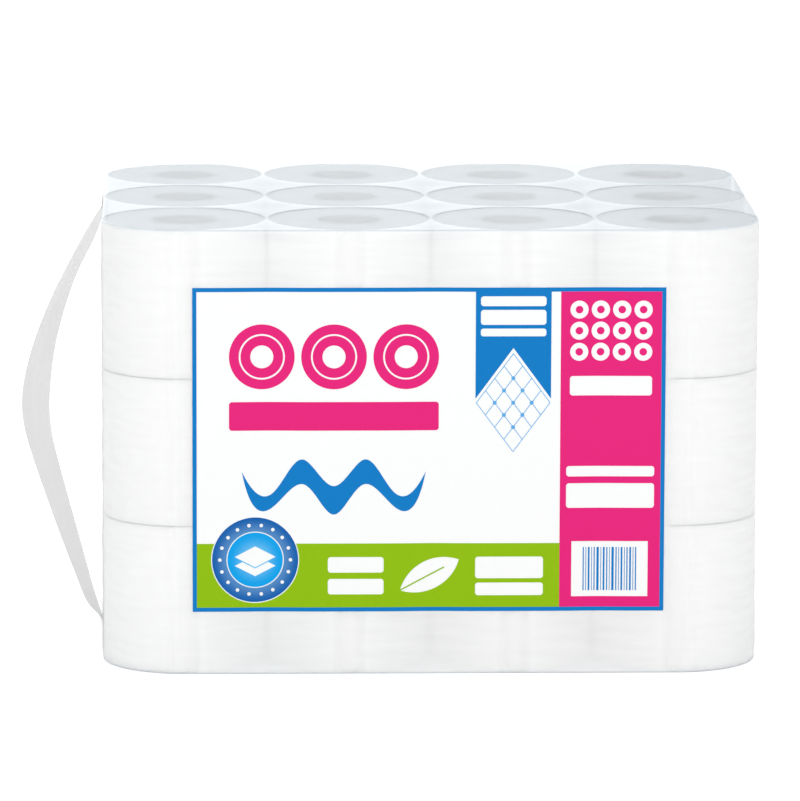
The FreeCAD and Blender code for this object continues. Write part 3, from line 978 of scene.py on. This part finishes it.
@dataclass
class PaperRoll:
    """One winding of soft paper, modelled once and copied to every place in the stack."""

    plan: StackPlan
    material: bpy.types.Material
    segments: int = 96
    radius: float = ROLL_RADIUS
    rim: float = 0.45 * MM
    bore_rim: float = 0.6 * MM
    bore_gap: float = 0.2 * MM
    end_rings: int = 11
    turn_ridge: float = 0.16 * MM
    uneven: float = 0.1 * MM
    skin: float = 4 * MM
    skin_fade: float = 3 * MM
    tail_step: float = 0.4 * MM
    tail_spread: float = 55.0
    tail_first: float = 35.0
    tail_turn: float = 47.0
    tail_range: float = 110.0

    def profile(self, height: float) -> list[tuple[float, float]]:
        """Radius and half height of the rings from the outer rim to the bore.

        Args:
            height: Height of the roll.

        Returns:
            One pair for each ring, from the outside inwards.
        """
        half = height / 2
        bore = self.plan.bore + self.bore_gap
        rings = [(self.radius, half - self.rim)]
        outer, inner = self.radius - self.rim, bore + self.bore_rim
        for turn in (35.0, 65.0, 90.0):
            a = math.radians(turn)
            rings.append((outer + self.rim * math.cos(a), half - self.rim * (1 - math.sin(a))))
        for step in range(1, self.end_rings):
            ridge = self.turn_ridge * (0.5 + 0.5 * math.sin(2.6 * step))
            rings.append((outer + (inner - outer) * step / self.end_rings, half - ridge))
        lip = half - self.turn_ridge / 2
        for turn in (0.0, 45.0, 90.0):
            a = math.radians(turn)
            rings.append((inner - self.bore_rim * math.sin(a), lip - self.bore_rim * (1 - math.cos(a))))
        return rings

    def model(self) -> bpy.types.Object:
        """Model a roll centred on the origin, with its free edge at angle zero.

        Returns:
            The roll.
        """
        low, high = self.plan.layers[0]
        rings = self.profile(high - low)
        radius, half = rings[0]
        bpy.ops.mesh.primitive_cylinder_add(vertices=self.segments, radius=radius, depth=2 * half,
                                            end_fill_type="NOTHING", location=(0, 0, 0))
        obj = bpy.context.object
        edit_all(obj)
        bpy.ops.mesh.region_to_loop()
        for next_radius, next_half in rings[1:]:
            bpy.ops.mesh.extrude_edges_move()
            shrink = next_radius / radius
            bpy.ops.transform.resize(value=(shrink, shrink, next_half / half), center_override=(0, 0, 0))
            radius, half = next_radius, next_half
        bpy.ops.mesh.bridge_edge_loops()
        bpy.ops.mesh.select_all(action="SELECT")
        bpy.ops.mesh.remove_doubles(threshold=TIGHT)
        bpy.ops.mesh.normals_make_consistent(inside=False)
        bpy.ops.object.mode_set(mode="OBJECT")
        self.wind(obj)
        smooth(obj, 40.0)
        self.mark(obj)
        return obj

    def wind(self, obj: bpy.types.Object) -> None:
        """Draw the outside in behind the last sheet's free edge, and press the roll a little uneven.

        Args:
            obj: The roll.
        """
        points = points_of(obj)
        reach = np.hypot(points[:, 0], points[:, 1])
        angle = np.degrees(np.arctan2(points[:, 1], points[:, 0])) % 360
        spacing = 360 / self.segments
        last = angle > 360 - spacing * 1.2
        angle = np.where(last, 359.8, angle)
        outside = ease((reach - (self.radius - self.skin)) / self.skin_fade)
        sunk = self.tail_step * (1 - ease(angle / self.tail_spread)) * outside
        uneven = self.uneven * (1 + np.sin(np.radians(2 * angle) + 0.7)) * outside
        reach = reach - sunk - uneven * ease(np.abs(angle - 180) / -60 + 3)
        points[:, 0] = reach * np.cos(np.radians(angle))
        points[:, 1] = reach * np.sin(np.radians(angle))
        put_points(obj, points)

    def mark(self, obj: bpy.types.Object) -> None:
        """Store each point's own place on the roll, and how far it belongs to an end.

        Args:
            obj: The roll.
        """
        points = points_of(obj)
        place = obj.data.attributes.new("roll_place", "FLOAT_VECTOR", "POINT")
        place.data.foreach_set("vector", points.astype(np.float32).ravel())
        reach = np.hypot(points[:, 0], points[:, 1])
        half = np.abs(points[:, 2]).max()
        on_end = (np.abs(points[:, 2]) > half - self.rim * 0.45) & (reach < self.radius)
        end = obj.data.attributes.new("roll_end", "FLOAT", "POINT")
        end.data.foreach_set("value", on_end.astype(np.float32))

    def build(self) -> None:
        """Copy the roll to every place in the stack."""
        pattern = self.model()
        count = 0
        for layer, (low, high) in zip(StackPlan.LAYER_NAMES, self.plan.layers):
            for row, y in zip(StackPlan.ROW_NAMES, self.plan.rows):
                for column, x in enumerate(self.plan.columns, 1):
                    roll = pattern.copy()
                    roll.data = pattern.data.copy()
                    bpy.context.scene.collection.objects.link(roll)
                    turn = self.tail_first + (self.tail_turn * count) % self.tail_range
                    spot = Matrix.Translation((x, y, (low + high) / 2))
                    roll.data.transform(spot @ Matrix.Rotation(math.radians(turn), 4, "Z"))
                    name = f"{layer}_{row}_{column}"
                    finish_piece(roll, f"paper_{name}", self.material, (f"roll_{name}",))
                    count += 1
        bpy.data.objects.remove(pattern)
        LOG.info("%d rolls placed", count)


@dataclass
class PrintedPanel:
    """Printed front panel, one piece for each ink, drawn over the film's own surface."""

    wrap: FilmWrap
    across_step: float = 6 * MM
    up_step: float = 12 * MM

    def inks(self) -> list[tuple[str, str, InkFinish]]:
        """List the inks.

        Returns:
            Node, piece name and finish of each ink.
        """
        low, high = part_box("print_badge_ring")
        middle = ((low.x + high.x) / 2, (low.z + high.z) / 2)
        radius = (high.x - low.x) / 2
        ring = InkFinish(Slot.NAVY, (0.03, 0.36, 0.66), (0.34, 0.55, 0.76), middle, (0.62 * radius, radius))
        disc = InkFinish(Slot.CYAN, (0.0, 0.62, 0.90), (0.52, 0.80, 0.94), middle, (0.0, 0.6 * radius))
        return [
            ("print_white_ground", "panel_white", InkFinish(Slot.WHITE, (0.964, 0.971, 0.968))),
            ("print_blue", "panel_blue", InkFinish(Slot.BLUE, (0.0, 0.471, 0.759))),
            ("print_pink", "panel_pink", InkFinish(Slot.PINK, (0.888, 0.127, 0.475))),
            ("print_green", "panel_green", InkFinish(Slot.GREEN, (0.552, 0.729, 0.0))),
            ("print_badge_ring", "badge_ring", ring),
            ("print_badge_disc", "badge_disc", disc),
            ("print_quilt_lines", "quilt_lines", InkFinish(Slot.PALE_BLUE, (0.36, 0.66, 0.88))),
        ]

    def drape(self, node: bpy.types.Object) -> bpy.types.Object:
        """Copy a flat field of ink and lay it on the film.

        Args:
            node: The frame's own field.

        Returns:
            The copy, cut into cells that follow the film's dips.
        """
        places = points_of(node)
        cuts = {}
        for axis, step in ((0, self.across_step), (2, self.up_step)):
            first, last = math.ceil(places[:, axis].min() / step), math.floor(places[:, axis].max() / step)
            cuts[axis] = [count * step for count in range(first, last + 1)]
        obj = cut_copy(node, cuts, flat=True)
        points = points_of(obj)
        points[:, 1] -= self.wrap.side_lift(points[:, 0] + self.wrap.plan.half_length, points[:, 2])
        put_points(obj, points)
        smooth(obj)
        return obj

    def build(self, nodes: dict[str, bpy.types.Object]) -> None:
        """Lay every ink of the panel on the film."""
        for node, name, finish in self.inks():
            finish_piece(self.drape(nodes[node]), name, finish.make(), (node,))


@dataclass
class CarryStrap:
    """Slack strip of milky film on one end, with soft creases along it."""

    material: bpy.types.Material
    across_cells: int = 16
    up_step: float = 4 * MM
    crease: float = 0.5 * MM
    curl: float = 1.1 * MM
    held: float = 0.06
    loosening: float = 0.2

    def build(self, node: bpy.types.Object) -> None:
        """Copy the frame's strap, cut it into cells and crease it.

        Args:
            node: The frame's own strap.
        """
        low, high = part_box("carry_strap")
        cuts = {}
        for axis, step in ((1, (high.y - low.y) / self.across_cells), (2, self.up_step)):
            last = math.floor((high[axis] - low[axis]) / step)
            cuts[axis] = [low[axis] + count * step for count in range(1, last + 1)]
        obj = cut_copy(node, cuts)
        points = points_of(obj)
        across = (points[:, 1] - low.y) / (high.y - low.y)
        up = (points[:, 2] - low.z) / (high.z - low.z)
        free = ease((up - self.held) / self.loosening) * ease((1 - self.held - up) / self.loosening)
        curl = self.curl * (1 - (2 * across - 1) ** 2)
        drift = 0.8 * np.sin(7 * up + 0.6) + 0.4 * np.sin(17 * up)
        crease = self.crease * np.sin(2 * math.pi * (2.2 * across + 0.12 * drift)) * np.sin(math.pi * across)
        points[:, 0] -= free * (curl + crease)
        put_points(obj, points)
        smooth(obj, 45.0)
        finish_piece(obj, "strap", self.material, ("carry_strap",))


@dataclass(frozen=True)
class Lamp:
    """Soft square lamp that looks at the pack."""

    name: str
    place: tuple[float, float, float]
    size: float
    power: float

    def build(self, aim: tuple[float, float, float]) -> None:
        """Hang the lamp and turn it to a point.

        Args:
            aim: The point.
        """
        data = bpy.data.lights.new(self.name, "AREA")
        data.shape = "SQUARE"
        data.size = self.size
        data.energy = self.power
        obj = bpy.data.objects.new(self.name, data)
        bpy.context.scene.collection.objects.link(obj)
        obj.location = self.place
        away = np.array(self.place) - np.array(aim)
        obj.rotation_euler = Vector(away).to_track_quat("Z", "Y").to_euler()


@dataclass
class Studio:
    """Plain pale floor, white surroundings, soft lamps and the camera."""

    camera_place: tuple[float, float, float] = (-0.15705, -4.472217, 0.92187)
    yaw: float = -0.031426
    pitch: float = 0.169754
    roll: float = 0.003398
    lens: float = 300.168
    floor_size: float = 60.0
    floor_drop: float = 0.2 * MM
    floor_tones: tuple[float, float] = (0.95, 0.96)
    sky: float = 0.875
    floor_glow: float = 0.42

    def seen(self, bench: NodeBench) -> Socket:
        """Tell rays that show the surroundings, straight or in gloss, from the others.

        Args:
            bench: Bench to add the nodes to.

        Returns:
            Socket that is 1 for such rays.
        """
        path = bench.add("ShaderNodeLightPath").outputs
        straight = bench.math("MAXIMUM", path["Is Camera Ray"], path["Is Glossy Ray"])
        return bench.math("MAXIMUM", straight, path["Is Transmission Ray"])

    def floor(self) -> None:
        """Lay the floor, which keeps the pack's shadow and turns white away from it."""
        bpy.ops.mesh.primitive_plane_add(size=self.floor_size, location=(0, 0, -self.floor_drop))
        obj = bpy.context.object
        obj.name = "floor"
        material, bench = new_material("pale_floor")
        tones = [linear((tone, tone, tone)) for tone in self.floor_tones]
        speckle = bench.noise(bench.object_place(), 3.0)
        cloth = bench.add("ShaderNodeBsdfDiffuse", Color=bench.blend(speckle, *tones))
        glow = bench.add("ShaderNodeEmission", Strength=bench.times(self.seen(bench), self.floor_glow))
        both = bench.add("ShaderNodeAddShader")
        bench.feed(both.inputs[0], cloth.outputs[0])
        bench.feed(both.inputs[1], glow.outputs[0])
        bench.add("ShaderNodeOutputMaterial", Surface=both.outputs[0])
        obj.data.materials.append(material)

    def world(self) -> None:
        """Surround the pack with even light, which shows as plain white."""
        world = bpy.data.worlds.new("surroundings")
        bpy.context.scene.world = world
        world.use_nodes = True
        bench = NodeBench(world.node_tree)
        strength = bench.plus(self.sky, bench.times(self.seen(bench), 1.0 - self.sky))
        light = bench.add("ShaderNodeBackground", Color=(1.0, 1.0, 1.0, 1.0), Strength=strength)
        bench.add("ShaderNodeOutputWorld", Surface=light.outputs[0])

    def camera(self) -> None:
        """Set the camera where the photograph was taken from."""
        data = bpy.data.cameras.new("camera")
        data.lens = self.lens
        data.sensor_width = 36.0
        data.sensor_fit = "HORIZONTAL"
        data.clip_start = 0.1
        data.clip_end = 200.0
        obj = bpy.data.objects.new("camera", data)
        bpy.context.scene.collection.objects.link(obj)
        spot = Matrix.Translation(self.camera_place)
        for angle, axis in ((self.yaw, "Z"), (math.pi / 2 - self.pitch, "X"), (self.roll, "Z")):
            spot = spot @ Matrix.Rotation(angle, 4, axis)
        obj.matrix_world = spot
        bpy.context.scene.camera = obj

    def build(self, plan: StackPlan) -> None:
        """Set up the floor, the light and the camera.

        Args:
            plan: The stack, whose middle the lamps look at.
        """
        self.floor()
        self.world()
        aim = (0.0, 0.0, plan.height / 2)
        for lamp in (
            Lamp("front_key", (0.7, -3.4, 1.3), 2.6, 18.5),
            Lamp("front_fill", (-1.3, -3.3, 0.8), 2.6, 15.5),
            Lamp("back_fill", (-0.8, 3.4, 1.4), 2.6, 20.0),
        ):
            lamp.build(aim)
        self.camera()
        bpy.context.scene.view_settings.view_transform = "Standard"


def main() -> None:
    """Build the pack's pieces in order, then the studio."""
    logging.basicConfig(level=logging.INFO, format="%(name)s %(message)s")
    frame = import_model()
    bpy.ops.object.select_all(action="DESELECT")
    nodes = frame["nodes"]
    plan = StackPlan.read()

    PaperRoll(plan, PaperFinish().make()).build()
    board = BoardFinish(plan.pitch).make()
    for name, core in nodes.items():
        if name.startswith("cores_"):
            core.data.materials.clear()
            core.data.materials.append(board)

    folded = FoldedFilmFinish().make()
    wrap = FilmWrap(plan, FilmFinish().make(plan))
    wrap.build()
    for end in End:
        FoldedEnd(wrap, end, folded).build()
    LapSeal(wrap, folded).build()
    PrintedPanel(wrap).build(nodes)
    CarryStrap(StrapFinish().make()).build(nodes["carry_strap"])

    Studio().build(plan)


if __name__ == "__main__":
    main()
